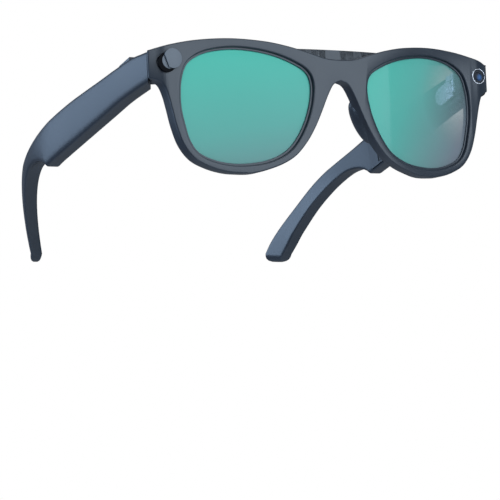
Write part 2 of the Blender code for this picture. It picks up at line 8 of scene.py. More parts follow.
# %% Load the frame
import json
import math

import bmesh
import bpy
from mathutils import Matrix, Vector


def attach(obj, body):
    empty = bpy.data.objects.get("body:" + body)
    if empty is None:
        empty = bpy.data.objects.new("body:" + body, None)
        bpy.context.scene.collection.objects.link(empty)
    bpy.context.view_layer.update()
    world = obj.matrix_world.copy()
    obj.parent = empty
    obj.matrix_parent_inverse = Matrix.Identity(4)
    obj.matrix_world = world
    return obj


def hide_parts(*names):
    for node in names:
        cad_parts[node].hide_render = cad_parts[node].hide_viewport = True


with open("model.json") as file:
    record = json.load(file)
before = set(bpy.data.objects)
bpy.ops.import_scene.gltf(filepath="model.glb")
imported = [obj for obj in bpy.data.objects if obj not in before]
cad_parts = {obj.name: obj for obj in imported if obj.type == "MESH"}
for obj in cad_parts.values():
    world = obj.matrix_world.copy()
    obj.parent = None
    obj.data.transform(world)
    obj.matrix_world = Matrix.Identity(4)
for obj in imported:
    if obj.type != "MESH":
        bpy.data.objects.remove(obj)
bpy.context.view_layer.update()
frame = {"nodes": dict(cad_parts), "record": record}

MM = 0.001
joints = {joint["name"]: joint for joint in frame["record"]["behaviour"]["joints"]}

# %% [markdown]
# The front leans when the glasses stand on their lower rims and ear tips. Its pieces could be modelled
# leaning, but outlines are easier to draw upright. So they are modelled upright and leaned at the end, by
# an angle that is read from a hinge axis of the frame. A temple gets a frame of its own in the same way,
# with Y running back along it.

# %% Working frames of the front and the temples
hinge_axis = Vector(joints["left_temple_fold"]["axis"])
hinge_place = Vector(joints["left_temple_fold"]["pos_m"])
lean = math.atan2(-hinge_axis.y, hinge_axis.z)
hinge_in_front = Vector((hinge_place.x, 20.4 * MM, 38.0 * MM))
lean_turn = Matrix.Rotation(lean, 4, "X")
stand = Matrix.Translation(hinge_place - lean_turn @ hinge_in_front) @ lean_turn

temple_slope = math.radians(15.5)
temple_splay = math.radians(2.3)


def temple_frame(side):
    """From a temple's own frame (Y back along it, origin on the hinge) to the world."""
    turn = Matrix.Rotation(-side * temple_splay, 4, "Z") @ Matrix.Rotation(-temple_slope, 4, "X")
    place = Vector((side * hinge_in_front.x, hinge_in_front.y, hinge_in_front.z))
    return stand @ Matrix.Translation(place) @ turn


print("lean in degrees", round(math.degrees(lean), 2))

# %% [markdown]
# The camera looks up at the glasses from the front and from the wearer's right. A long lens from about a
# metre away keeps the front and the ear tips in scale, as a product shot does. It comes first, because it
# decides which surfaces need the most care.

# %% Camera
view_azimuth = math.radians(-30.9)
view_rise = math.radians(12.3)
view_roll = math.radians(-7.06)
camera_place = Vector((-0.4966, -0.8282, -0.2214))

camera_data = bpy.data.cameras.new("camera")
camera_data.lens = 188.9
camera_data.sensor_width = 36.0
camera_data.clip_start = 0.01
camera_data.clip_end = 50.0
camera = bpy.data.objects.new("camera", camera_data)
bpy.context.scene.collection.objects.link(camera)
turn = (Matrix.Rotation(view_azimuth, 4, "Z") @ Matrix.Rotation(math.radians(90) + view_rise, 4, "X")
        @ Matrix.Rotation(view_roll, 4, "Z"))
camera.matrix_world = Matrix.Translation(camera_place) @ turn
bpy.context.scene.camera = camera
bpy.context.scene.view_settings.view_transform = "Standard"
print("camera distance", round(camera_place.length, 3))

# %% [markdown]
# Dark satin plastic shows little but what it mirrors. Small lamps would give it hard spots, so the light
# is large soft panels: one ahead for the front, a weak one beside the camera, two bluish ones on the left
# that the temples mirror, and one overhead.

# %% Soft panels
def aim(obj, place, target):
    """Puts a light at a place and turns it towards a target."""
    obj.location = place
    obj.rotation_euler = (Vector(target) - Vector(place)).to_track_quat("-Z", "Y").to_euler()


def soft_panel(name, place, width, height, power, colour=(1, 1, 1), target=(0, 0, 0.02)):
    """A rectangular light that the camera itself doesn't see."""
    data = bpy.data.lights.new(name, "AREA")
    data.shape = "RECTANGLE"
    data.size = width
    data.size_y = height
    data.energy = power
    data.color = colour
    panel = bpy.data.objects.new(name, data)
    bpy.context.scene.collection.objects.link(panel)
    aim(panel, place, target)
    panel.visible_camera = False
    return panel


cool_white = (0.76, 0.88, 1.0)
pale_blue = (0.52, 0.72, 1.0)
soft_panel("front_panel", (0.32, -0.92, 0.08), 0.95, 0.9, 9.0, cool_white)
soft_panel("camera_side_panel", (-0.62, -0.80, 0.30), 0.5, 0.5, 2.6, cool_white)
soft_panel("back_left_panel", (-0.70, 0.76, 0.40), 0.62, 0.5, 2.5, pale_blue)
soft_panel("left_panel", (-0.95, 0.30, 0.20), 0.5, 0.8, 8.0, pale_blue)
soft_panel("top_panel", (0.0, -0.1, 0.95), 0.9, 0.9, 4.0, (0.95, 0.97, 1.0))
print("panels", len(bpy.data.lights))

# %% [markdown]
# The backdrop is plain white, as in a catalogue. A white world would also light the plastic from all
# sides and wash it out, so a switch on the kind of ray shows white to the camera and a dim bluish sky to
# everything else.

# %% Sky
world = bpy.data.worlds.new("studio")
bpy.context.scene.world = world
world.use_nodes = True
nodes = world.node_tree.nodes
links = world.node_tree.links
nodes.clear()
sky_out = nodes.new("ShaderNodeOutputWorld")
backdrop = nodes.new("ShaderNodeBackground")
backdrop.inputs["Strength"].default_value = 1.0
backdrop.inputs["Color"].default_value = (1, 1, 1, 1)
ambient = nodes.new("ShaderNodeBackground")
ambient.inputs["Color"].default_value = (0.75, 0.85, 1.0, 1)
ambient.inputs["Strength"].default_value = 0.22
which = nodes.new("ShaderNodeMixShader")
ray = nodes.new("ShaderNodeLightPath")
links.new(ray.outputs["Is Camera Ray"], which.inputs["Fac"])
links.new(ambient.outputs["Background"], which.inputs[1])
links.new(backdrop.outputs["Background"], which.inputs[2])
links.new(which.outputs["Shader"], sky_out.inputs["Surface"])
print("sky nodes", len(nodes))

# %% [markdown]
# The glasses seem to float, seen from below. The floor is therefore a pale disc that lies far under them,
# where it catches light without coming into this view.

# %% Floor
bpy.ops.object.select_all(action="DESELECT")
bpy.ops.mesh.primitive_circle_add(vertices=64, radius=3.0, fill_type="NGON", location=(0, 0, -0.75))
floor = bpy.context.object
floor.name = "floor"
floor_finish = bpy.data.materials.new("pale_floor")
floor_finish.use_nodes = True
floor_shader = floor_finish.node_tree.nodes["Principled BSDF"]
floor_shader.inputs["Base Color"].default_value = (0.9, 0.9, 0.9, 1)
floor_shader.inputs["Roughness"].default_value = 0.9
floor.data.materials.append(floor_finish)
print("floor at", round(floor.location.z, 2))

# %% [markdown]
# ## Finishes
# Each finish is a small node tree, made by a function so that the same pattern can serve several parts.
# Patterns read Object coordinates in metres, so a noise scale of 1000 makes grains of about a millimetre.
# Values that are the same all over stay on the shader's own sockets.

# %% A new finish and its noise
def new_finish(name, colour, roughness, metallic=0.0):
    """A new material with its own node tree; returns it with the tree and the shader."""
    finish = bpy.data.materials.new(name)
    finish.use_nodes = True
    shader = finish.node_tree.nodes["Principled BSDF"]
    shader.inputs["Base Color"].default_value = (*colour, 1)
    shader.inputs["Roughness"].default_value = roughness
    shader.inputs["Metallic"].default_value = metallic
    return finish, finish.node_tree, shader


def noise(tree, scale, detail=3.0, stretch=(1, 1, 1)):
    """Noise on Object coordinates, stretched along an axis by a small scale there."""
    place = tree.nodes.new("ShaderNodeTexCoord")
    mapping = tree.nodes.new("ShaderNodeMapping")
    mapping.inputs["Scale"].default_value = stretch
    grain = tree.nodes.new("ShaderNodeTexNoise")
    grain.inputs["Scale"].default_value = scale
    grain.inputs["Detail"].default_value = detail
    tree.links.new(place.outputs["Object"], mapping.inputs["Vector"])
    tree.links.new(mapping.outputs["Vector"], grain.inputs["Vector"])
    return grain


# %% [markdown]
# A noise value alone does nothing. It can be mapped to a range of roughness, it can mix two colours, or
# it can stand for a height that tilts the surface. Three short helpers do that for every finish below.

# %% What a noise value is used for
def spread(tree, source, low, high):
    """Maps a 0 to 1 value to a range."""
    ranged = tree.nodes.new("ShaderNodeMapRange")
    ranged.inputs["To Min"].default_value = low
    ranged.inputs["To Max"].default_value = high
    tree.links.new(source, ranged.inputs["Value"])
    return ranged.outputs["Result"]


def blend_colours(tree, factor, first, second):
    """Mixes two colours, first where the factor is 0 and second where it is 1."""
    mix = tree.nodes.new("ShaderNodeMix")
    mix.data_type = "RGBA"
    mix.inputs["A"].default_value = (*first, 1)
    mix.inputs["B"].default_value = (*second, 1)
    tree.links.new(factor, mix.inputs["Factor"])
    return mix.outputs["Result"]


def bump(tree, shader, height, strength, distance):
    """Tilts the surface by a height value, over a depth in metres."""
    node = tree.nodes.new("ShaderNodeBump")
    node.inputs["Strength"].default_value = strength
    node.inputs["Distance"].default_value = distance
    tree.links.new(height, node.inputs["Height"])
    tree.links.new(node.outputs["Normal"], shader.inputs["Normal"])


# %% [markdown]
# The shells are moulded plastic with a satin polish: a very dark navy with faint clouding in its gloss
# and a grain far too fine to see as bumps. One flat roughness would be simpler, but a large highlight on
# it looks computed, so the roughness varies a little.

# %% Satin navy plastic
def satin_navy():
    """Dark navy plastic with a clouded gloss and a very fine grain."""
    finish, tree, shader = new_finish("satin_navy", (0.014, 0.020, 0.030), 0.3)
    cloud = noise(tree, 60, 4)
    tint = blend_colours(tree, cloud.outputs["Fac"], (0.010, 0.015, 0.023), (0.016, 0.023, 0.034))
    tree.links.new(tint, shader.inputs["Base Color"])
    tree.links.new(spread(tree, cloud.outputs["Fac"], 0.26, 0.36), shader.inputs["Roughness"])
    grain = noise(tree, 6000, 2)
    bump(tree, shader, grain.outputs["Fac"], 0.03, 0.00002)
    return finish


navy = satin_navy()
print(navy.name, len(navy.node_tree.nodes), "nodes")

# %% [markdown]
# The camera cover, the switch and the speakers are plainer mouldings with a fine dry grain. One function
# makes three shades: black, the grey of the sliding disc, and an almost lightless black that is painted
# shade for the bottom of the camera's seat, and that mirrors nearly nothing.

# %% Moulded black and grey
def black_moulding(name, colour):
    """Dark plastic with a fine moulded grain."""
    finish, tree, shader = new_finish(name, colour, 0.35)
    grain = noise(tree, 2500, 3)
    tree.links.new(spread(tree, grain.outputs["Fac"], 0.28, 0.42), shader.inputs["Roughness"])
    bump(tree, shader, grain.outputs["Fac"], 0.12, 0.00004)
    return finish


black = black_moulding("black_moulding", (0.008, 0.009, 0.011))
cover_grey = black_moulding("cover_grey", (0.07, 0.085, 0.105))
# Painted shade: an almost lightless black that mirrors nearly nothing stands in for the shade in the
# camera's seat.
recess_shade_black = black_moulding("recess_shade_black", (0.001, 0.001, 0.002))
recess_shade_black.node_tree.nodes["Principled BSDF"].inputs["Specular IOR Level"].default_value = 0.04
print("mouldings", [finish.name for finish in (black, cover_grey, recess_shade_black)])

# %% [markdown]
# Metal shows at the camera rings, the hinges and the charging contacts. Brushing leaves long scratches,
# which a noise gives when it is stretched along one axis. The hinge steel is only half metallic, because
# a full metal would mirror the dark inside of the temple and look black.

# %% Metals
def brushed_metal(name, colour, roughness, stretch, metallic=1.0):
    """Metal with a grain that is long where stretch is small."""
    finish, tree, shader = new_finish(name, colour, roughness, metallic)
    grain = noise(tree, 2500, 2, stretch)
    gloss = spread(tree, grain.outputs["Fac"], roughness - 0.05, roughness + 0.05)
    tree.links.new(gloss, shader.inputs["Roughness"])
    bump(tree, shader, grain.outputs["Fac"], 0.03, 0.00001)
    return finish


bright_trim = brushed_metal("bright_trim", (0.78, 0.79, 0.82), 0.18, (1, 1, 1))
hinge_steel = brushed_metal("hinge_steel", (0.75, 0.80, 0.88), 0.42, (1, 0.08, 1), 0.5)
gold = brushed_metal("gold_plate", (0.85, 0.62, 0.28), 0.22, (1, 1, 1))
foil = brushed_metal("battery_foil", (0.45, 0.46, 0.48), 0.4, (0.2, 1, 1))
print("metals", [finish.name for finish in (bright_trim, hinge_steel, gold, foil)])

# %% [markdown]
# The boards inside are lacquered in green. They show only when a lid is taken off, so patches of two
# greens are enough.

# %% Circuit board
def circuit_board():
    """Green lacquer with slightly lighter and darker patches."""
    finish, tree, shader = new_finish("solder_mask", (0.01, 0.09, 0.045), 0.45)
    spots = noise(tree, 700, 1)
    tint = blend_colours(tree, spots.outputs["Fac"], (0.008, 0.07, 0.035), (0.02, 0.14, 0.07))
    tree.links.new(tint, shader.inputs["Base Color"])
    return finish


board = circuit_board()
print(board.name, len(board.node_tree.nodes), "nodes")

# %% [markdown]
# A camera's glass is coated against glare: it looks nearly black, with a blue reflection of its coat in the
# middle. That reflection is painted: a blue in the base colour that fades to black with distance from the
# middle, which is cheap and holds from every side.

# %% Camera glass
def camera_glass(name, centre):
    """Nearly black glass with a painted blue reflection of its coat around the camera's own centre."""
    finish, tree, shader = new_finish(name, (0.010, 0.013, 0.020), 0.12)
    place = tree.nodes.new("ShaderNodeTexCoord")
    away = tree.nodes.new("ShaderNodeVectorMath")
    away.operation = "DISTANCE"
    away.inputs[1].default_value = centre
    # Painted reflection: the coat's blue sits in the middle and fades to black outwards.
    painted_coat_reflection = tree.nodes.new("ShaderNodeMapRange")
    painted_coat_reflection.inputs["From Min"].default_value = 0.4 * MM
    painted_coat_reflection.inputs["From Max"].default_value = 1.5 * MM
    tree.links.new(place.outputs["Object"], away.inputs[0])
    tree.links.new(away.outputs["Value"], painted_coat_reflection.inputs["Value"])
    tint = blend_colours(tree, painted_coat_reflection.outputs["Result"], (0.03, 0.09, 0.22), (0.008, 0.010, 0.016))
    tree.links.new(tint, shader.inputs["Base Color"])
    shader.inputs["Specular IOR Level"].default_value = 0.12
    return finish


glass_left = camera_glass("camera_glass_left", (0.0664, -0.0676, 0.0384))
glass_right = camera_glass("camera_glass_right", (-0.0659, -0.068, 0.0387))
print("camera glass", glass_left.name, glass_right.name)

# %% [markdown]
# The lenses are tinted and carry a green mirror coat. Where the hinge lies close behind the left lens, it
# shows through the coat, and elsewhere little does. Real refraction would need many samples, so the
# coat's opacity is lowered around one spot instead.

# %% A thinner coat around one spot
thin_reach = (3 * MM, 20 * MM)
coat_cover = (0.5, 0.93)


def thin_at(tree, shader, place, spot):
    """Lets more light through the coat near one spot."""
    away = tree.nodes.new("ShaderNodeVectorMath")
    away.operation = "DISTANCE"
    away.inputs[1].default_value = spot
    cover = tree.nodes.new("ShaderNodeMapRange")
    cover.inputs["From Min"].default_value = thin_reach[0]
    cover.inputs["From Max"].default_value = thin_reach[1]
    cover.inputs["To Min"].default_value = coat_cover[0]
    cover.inputs["To Max"].default_value = coat_cover[1]
    tree.links.new(place.outputs["Object"], away.inputs[0])
    tree.links.new(away.outputs["Value"], cover.inputs["Value"])
    tree.links.new(cover.outputs["Result"], shader.inputs["Alpha"])


# %% [markdown]
# The coat fades from green to a neutral grey across the lens. The fade is partly the coat's own colour and
# partly a painted reflection, because on a real mirror coat part of that fade moves with the eye. Here it
# is fixed to the lens by a ramp along one direction of the Object coordinates, which is simpler and the
# same in every view. Each lens has its own direction.

# %% Mirror-coated lenses
def coated_lens(name, across, start, end, colours, clear_spot):
    """A lens finish whose fade is partly painted reflection: across is the direction that the fade runs in,
    colours its three stops.
    """
    finish, tree, shader = new_finish(name, colours[0], 0.06)
    place = tree.nodes.new("ShaderNodeTexCoord")
    along = tree.nodes.new("ShaderNodeVectorMath")
    along.operation = "DOT_PRODUCT"
    along.inputs[1].default_value = across
    ranged = tree.nodes.new("ShaderNodeMapRange")
    ranged.inputs["From Min"].default_value = start
    ranged.inputs["From Max"].default_value = end
    ramp = tree.nodes.new("ShaderNodeValToRGB")
    stops = ramp.color_ramp.elements
    stops[0].color = (*colours[0], 1)
    stops[1].color = (*colours[2], 1)
    stops.new(0.5).color = (*colours[1], 1)
    tree.links.new(place.outputs["Object"], along.inputs[0])
    tree.links.new(along.outputs["Value"], ranged.inputs["Value"])
    tree.links.new(ranged.outputs["Result"], ramp.inputs["Fac"])
    tree.links.new(ramp.outputs["Color"], shader.inputs["Base Color"])
    thin_at(tree, shader, place, clear_spot)
    shader.inputs["Specular IOR Level"].default_value = 0.15
    return finish


# Stops of the fade: the coat's green and grey, partly painted reflection of the mirror coat.
coat_and_reflection_colours = [(0.07, 0.49, 0.36), (0.105, 0.38, 0.31), (0.17, 0.19, 0.21)]
off_the_lens = (0.0, -0.2, 0.1)
by_the_hinge = (0.057, -0.064, 0.031)
lens_right_finish = coated_lens("lens_coat_right", (0.15, 0, -1), -0.050, 0.008, coat_and_reflection_colours, off_the_lens)
lens_left_finish = coated_lens("lens_coat_left", (1, 0, -0.55), -0.016, 0.048, coat_and_reflection_colours, by_the_hinge)
print("coats", lens_right_finish.name, lens_left_finish.name)

# %% [markdown]
# Every CAD node keeps its shape unless a finer piece replaces it below, and it takes one of these
# finishes by the name of its material. The speaker grilles are steel in the frame, but bare steel
# flashes in this light, so they are set to black.

# %% Finishes of the CAD nodes
finish_of_slot = {
    "satin_navy_plastic": navy, "black_plastic": black, "camera_glass": glass_right,
    "polished_steel": bright_trim, "brushed_steel": hinge_steel, "gold_contact": gold,
    "circuit_board": board, "battery_pouch": foil, "green_lens": lens_right_finish,
}
for part in frame["record"]["subparts"]:
    node = frame["nodes"][part["node"]]
    node.data.materials.clear()
    is_grille = part["node"].startswith("speaker_grille")
    node.data.materials.append(black if is_grille else finish_of_slot[part["material_slot"]])

# %% [markdown]
# ## Modelling helpers
# The outlines of glasses are smooth curves with a few sharp corners. Tracing them with many points would
# be hard to change, so each one is a curve through a few points, and a point with a third value stays a
# corner. A second helper moves such a loop outwards, for gaps and ledges.

# %% Smooth outlines
closest_points = 0.7  # mm


def smooth_loop(points, steps, mirror=1):
    """Catmull-Rom curve through a closed list of points in mm; points with a third value stay sharp."""
    loop = []
    count = len(points)
    for i in range(count):
        p0, p1, p2, p3 = (points[(i + k) % count] for k in (-1, 0, 1, 2))
        sharp1 = len(p1) > 2
        sharp2 = len(p2) > 2
        a, b = Vector(p1[:2]), Vector(p2[:2])
        before = b if sharp1 else Vector(p0[:2])
        after = a if sharp2 else Vector(p3[:2])
        start = (b - a) if sharp1 else (b - before) / 2
        end = (b - a) if sharp2 else (after - a) / 2
        pieces = max(1, min(steps, int((b - a).length / closest_points)))
        for k in range(pieces):
            t = k / pieces
            p = (a * (2 * t**3 - 3 * t**2 + 1) + start * (t**3 - 2 * t**2 + t)
                 + b * (-2 * t**3 + 3 * t**2) + end * (t**3 - t**2))
            loop.append((p.x * mirror * MM, p.y * MM))
    return loop


def grow(loop, distance):
    """Moves a closed loop outwards by a distance, square to itself."""
    area = sum(a[0] * b[1] - b[0] * a[1] for a, b in zip(loop, loop[1:] + loop[:1]))
    side = 1 if area > 0 else -1
    grown = []
    for before, here, after in zip(loop[-1:] + loop[:-1], loop, loop[1:] + loop[:1]):
        run = Vector((after[0] - before[0], after[1] - before[1])).normalized()
        grown.append((here[0] + run.y * distance * side, here[1] - run.x * distance * side))
    return grown


print("points on a test square", len(smooth_loop([(0, 0), (8, 0), (8, 8), (0, 8)], 7)))

# %% [markdown]
# An outline becomes a mesh by adding a circle with as many points and moving them onto the outline. The
# other helpers switch between the modes in which Blender's tools work, so that each step below is one
# line.

# %% From an outline to an object
def deselect():
    """Leaves edit mode, with nothing selected."""
    if bpy.context.object and bpy.context.object.mode != "OBJECT":
        bpy.ops.object.mode_set(mode="OBJECT")
    bpy.ops.object.select_all(action="DESELECT")


def ring_of_points(name, loop, depth=0.0):
    """A circle whose points are moved onto a loop in the XZ plane."""
    deselect()
    bpy.ops.mesh.primitive_circle_add(vertices=len(loop), radius=0.02)
    obj = bpy.context.object
    obj.name = name
    for vert, (x, z) in zip(obj.data.vertices, loop):
        vert.co = (x, depth, z)
    return obj


def join_into(target, *others):
    """Makes the other objects part of the target's mesh."""
    deselect()
    for obj in others:
        obj.select_set(True)
    target.select_set(True)
    bpy.context.view_layer.objects.active = target
    bpy.ops.object.join()
    return target


def edit(obj):
    """Opens one object in edit mode, picking by points."""
    deselect()
    obj.select_set(True)
    bpy.context.view_layer.objects.active = obj
    bpy.ops.object.mode_set(mode="EDIT")
    bpy.ops.mesh.select_mode(type="VERT")


def leave():
    bpy.ops.object.mode_set(mode="OBJECT")


# %% [markdown]
# A few steps come back on nearly every piece. Faces have to point outwards, and edges of a moulding are
# never quite sharp, so they get a narrow bevel. Modifiers are applied at once, so that the mesh is what
# it looks like.

# %% Outward faces, bevels and modifiers
def outward():
    """Turns every face of the mesh in edit mode outwards, and checks that by its signed volume."""
    bpy.ops.mesh.select_all(action="SELECT")
    bpy.ops.mesh.normals_make_consistent(inside=False)
    if bmesh.from_edit_mesh(bpy.context.object.data).calc_volume(signed=True) < 0:
        bpy.ops.mesh.flip_normals()


def bevel_sharp(width, segments, angle=40):
    """Rounds every edge sharper than an angle in edit mode."""
    bpy.ops.mesh.select_all(action="DESELECT")
    bpy.ops.mesh.select_mode(type="EDGE")
    bpy.ops.mesh.edges_select_sharp(sharpness=math.radians(angle))
    bpy.ops.mesh.bevel(offset=width, segments=segments, profile=0.5, affect="EDGES", clamp_overlap=False)
    bpy.ops.mesh.select_mode(type="VERT")


def apply_modifier(obj, kind, **settings):
    """Adds a modifier, sets it and applies it at once."""
    deselect()
    obj.select_set(True)
    bpy.context.view_layer.objects.active = obj
    bpy.ops.object.modifier_add(type=kind)
    modifier = obj.modifiers[-1]
    for key, value in settings.items():
        setattr(modifier, key, value)
    bpy.ops.object.modifier_apply(modifier=modifier.name)


def subtract(obj, tool):
    """Cuts a tool out of an object and removes the tool."""
    apply_modifier(obj, "BOOLEAN", operation="DIFFERENCE", solver="EXACT", object=tool)
    bpy.data.objects.remove(tool)


# %% [markdown]
# A finished piece goes to its place in the world, with the place applied to its points, and nothing may
# reach below the surface that the glasses stand on. It is then shaded, given its finish and tied to the
# body that it moves with.

# %% Finish a piece
def finish_piece(obj, matrix, finish, body, replaced=(), angle=35):
    """Puts a piece in the world, applies its place, shades it and rides it on its body."""
    deselect()
    obj.select_set(True)
    bpy.context.view_layer.objects.active = obj
    obj.matrix_world = matrix
    bpy.ops.object.transform_apply(location=True, rotation=True, scale=True)
    for vert in obj.data.vertices:
        vert.co.z = max(vert.co.z, 0.0)
    bpy.ops.object.shade_smooth_by_angle(angle=math.radians(angle))
    obj.data.materials.clear()
    obj.data.materials.append(finish)
    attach(obj, body)
    if replaced:
        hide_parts(*replaced)
    print(obj.name, len(obj.data.polygons), "faces")


# %% [markdown]
# ## The front
# The front is one moulding that holds both lenses: a bar over the nose, two rims and two square corners
# for the cameras. It could be a box with holes, but its outline is what makes the style, so it is drawn
# as two outlines, one for the outer edge of a half and one for an opening.

# %% Outlines of the front
front_depth = 5.0 * MM
end_depth = 8.85 * MM
front_half = [
    (0, 40.8, 1), (6, 41.2), (13, 43.2), (21, 45.3), (30, 46.9), (42, 47.7), (54, 47.0), (64, 45.2),
    (72.6, 42.8, 1), (72.6, 33.5, 1), (69.3, 32.65), (67.2, 31.1), (65.7, 27.6), (64.4, 22.6),
    (62.9, 16.4), (60.5, 10.0), (56.5, 5.0), (51.0, 2.1), (45.5, 0.5), (41.0, 0.0), (35.0, 0.0),
    (29.5, 1.3), (24.0, 3.3), (19.0, 6.3), (14.5, 11.2), (11.0, 16.6), (8.2, 22.1), (5.4, 28.0),
    (2.9, 31.9), (0, 33.1, 1),
]
opening = [
    (61.1, 27.5), (60.5, 33.2), (58.4, 38.6), (54.2, 41.9), (48.5, 43.8), (41.0, 44.6), (33.0, 44.0),
    (25.0, 42.3), (18.0, 39.6), (13.2, 36.6), (11.3, 32.5), (11.5, 26.8), (13.4, 20.0), (16.8, 13.2),
    (21.5, 7.7), (28.0, 4.3), (35.0, 2.9), (42.0, 2.7), (49.0, 4.0), (54.8, 6.7), (58.1, 11.2),
    (59.9, 17.4), (60.9, 22.5),
]


def whole(half):
    """The whole outline from one half, without doubling the two middle points."""
    return half + [(-p[0], *p[1:]) for p in reversed(half[1:-1])]


outer_loop = smooth_loop(whole(front_half), 7)
opening_loop = smooth_loop(opening, 7)
print("front outline", len(outer_loop), "points, opening", len(opening_loop))

# %% [markdown]
# Glasses curve round the face: gently over the lenses, and more at the corners. A bend could be a
# modifier. A formula is used, because the lenses, the cameras and the temples' ends all have to follow
# the same curve.

# %% The wrap round the face
def wrap(x):
    """How far back the front's face lies at a distance x from the middle."""
    corner = 60.0 * max(0.0, abs(x) - 64.5 * MM) ** 2
    return x * x / (2 * 140 * MM) - 8.9 * MM * (x / (70 * MM)) ** 4 + corner


def wrap_mesh(obj):
    """Pushes every point back by the wrap at its place."""
    for vert in obj.data.vertices:
        vert.co.y += wrap(vert.co.x)


print("wrap at the corner in mm", round(wrap(70 * MM) / MM, 2))

# %% [markdown]
# The front starts flat. Both outlines become solids, the openings are cut out, and each corner is cut at
# a slant where the temple closes on it. Long flat faces get edges across them before the wrap, because a
# face without points in its middle can't curve.

# %% Flat solids, the slanted corners and the slices
mitre_start = Vector((71.6 * MM, 0.2 * MM, 0))
mitre_end = Vector((67.4 * MM, 9.0 * MM, 0))
along_slant = 6  # mm
half_tool = 10  # mm
tool_size = (20 * MM, 30 * MM, 40 * MM)
wide_stations = [3 * k for k in range(1, 21)]
corner_stations = [62, 64, 65, 66, 67, 68, 69, 70, 71]


def flat_solid(name, loop, low, high):
    """A filled loop in the XZ plane, extruded from one depth to another."""
    solid = ring_of_points(name, loop, low)
    edit(solid)
    bpy.ops.mesh.select_all(action="SELECT")
    bpy.ops.mesh.edge_face_add()
    bpy.ops.mesh.extrude_region_move(TRANSFORM_OT_translate={"value": (0, high - low, 0)})
    outward()
    leave()
    return solid


def square_to(run):
    """The level direction square to a run."""
    return Vector((run.y, -run.x, 0)).normalized()


def cut_mitre(obj, side):
    """Cuts a flat, unwrapped piece where the temple closes on it."""
    run = (mitre_end - mitre_start).normalized()
    centre = mitre_start + run * along_slant * MM + square_to(run) * half_tool * MM
    deselect()
    bpy.ops.mesh.primitive_cube_add(size=1.0, location=(side * centre.x, centre.y, hinge_in_front.z),
                                    rotation=(0, 0, side * math.atan2(-run.x, run.y)))
    tool = bpy.context.object
    tool.scale = tool_size
    bpy.ops.object.transform_apply(location=True, rotation=True, scale=True)
    subtract(obj, tool)


def slice_across(obj, stations):
    """Adds edges at stations across the face, so that a long flat face can follow the wrap."""
    edit(obj)
    for station in stations:
        for side in (1, -1):
            bpy.ops.mesh.select_all(action="SELECT")
            bpy.ops.mesh.bisect(plane_co=(side * station * MM, 0, 0), plane_no=(1, 0, 0))
    bpy.ops.mesh.select_all(action="SELECT")
    bpy.ops.mesh.remove_doubles(threshold=0.002 * MM)
    leave()


print("length of the slant in mm", round((mitre_end - mitre_start).length / MM, 2))

# %% [markdown]
# Behind the rim runs a narrow ledge that the lens lies against, and behind each camera the corner is
# thicker. Both are made as closed solids of their own and joined to the front, which keeps every one of
# them simple.

# %% The lens seat and the thick corners
seat_inside = 0.8 * MM
seat_root = 0.3 * MM
seat_depth = 1.05 * MM
seat_thickness = 0.7 * MM
end_block = [
    (60.5, 32.6), (63.5, 32.2), (67.6, 32.2), (71.1, 33.6), (71.3, 42.95), (66.5, 44.2), (60.5, 44.9),
]


def build_seat():
    """The inner ledge that the lens lies against, a ring a little inside the opening."""
    edge = ring_of_points("seat_edge", grow(opening_loop, -seat_inside), seat_depth)
    root = ring_of_points("seat_root", grow(opening_loop, seat_root), seat_depth)
    seat = join_into(edge, root)
    edit(seat)
    bpy.ops.mesh.select_all(action="SELECT")
    bpy.ops.mesh.bridge_edge_loops()
    bpy.ops.mesh.select_all(action="SELECT")
    bpy.ops.mesh.extrude_region_move(TRANSFORM_OT_translate={"value": (0, seat_thickness, 0)})
    outward()
    bevel_sharp(0.12 * MM, 2, 50)
    leave()
    return seat


def build_end_block():
    """The thick end behind each camera."""
    loop = [(x * MM, z * MM) for x, z in end_block]
    block = flat_solid("end_block", loop, front_depth - 1.0 * MM, end_depth)
    edit(block)
    bevel_sharp(0.35 * MM, 3, 30)
    leave()
    cut_mitre(block, 1)
    return block


print("thick corner in mm", round((end_depth - front_depth) / MM, 2), "deeper than the rim")

# %% [markdown]
# A camera sits in a round bore, and the nose pads are bumps moulded on the back of the bridge. A bump
# could be sculpted. A stretched and turned ball that is half sunk in the rim gives the same shape from
# three radii.

# %% Camera bores and nose pads
camera_x = 65.9 * MM
camera_z = 38.6 * MM
bore_radii = {1: 2.95 * MM, -1: 3.2 * MM}
pad_place = (11.2 * MM, 5.4 * MM, 19.4 * MM)
pad_radii = (2.1 * MM, 4.4 * MM, 8.5 * MM)
pad_turn = math.radians(28)


def bore_camera(front, side, radius):
    """Sinks the round seat of a camera into the flat face."""
    deselect()
    bpy.ops.mesh.primitive_cylinder_add(vertices=72, radius=radius, depth=3.6 * MM,
                                        rotation=(math.radians(90), 0, 0),
                                        location=(side * camera_x, 0, camera_z))
    subtract(front, bpy.context.object)


def nose_pad(side):
    """One moulded pad: a long, turned bump on the back of the nose cut-out."""
    deselect()
    x, y, z = pad_place
    bpy.ops.mesh.primitive_ico_sphere_add(subdivisions=4, radius=1.0, rotation=(0, -side * pad_turn, 0),
                                          location=(side * x, y, z))
    pad = bpy.context.object
    pad.scale = pad_radii
    bpy.ops.object.transform_apply(location=True, rotation=True, scale=True)
    return pad


def count_open(obj):
    """How many edges don't lie between just two faces."""
    mesh = bmesh.new()
    mesh.from_mesh(obj.data)
    open_edges = sum(1 for edge in mesh.edges if not edge.is_manifold)
    mesh.free()
    return open_edges


print("bore radii in mm", [round(radius / MM, 2) for radius in bore_radii.values()])

# %% [markdown]
# Now the front is put together. The order matters: the outer edges are bevelled before the bores are cut,
# so that the bores stay sharp, and the wrap comes last, so that every cut is made on a flat piece.

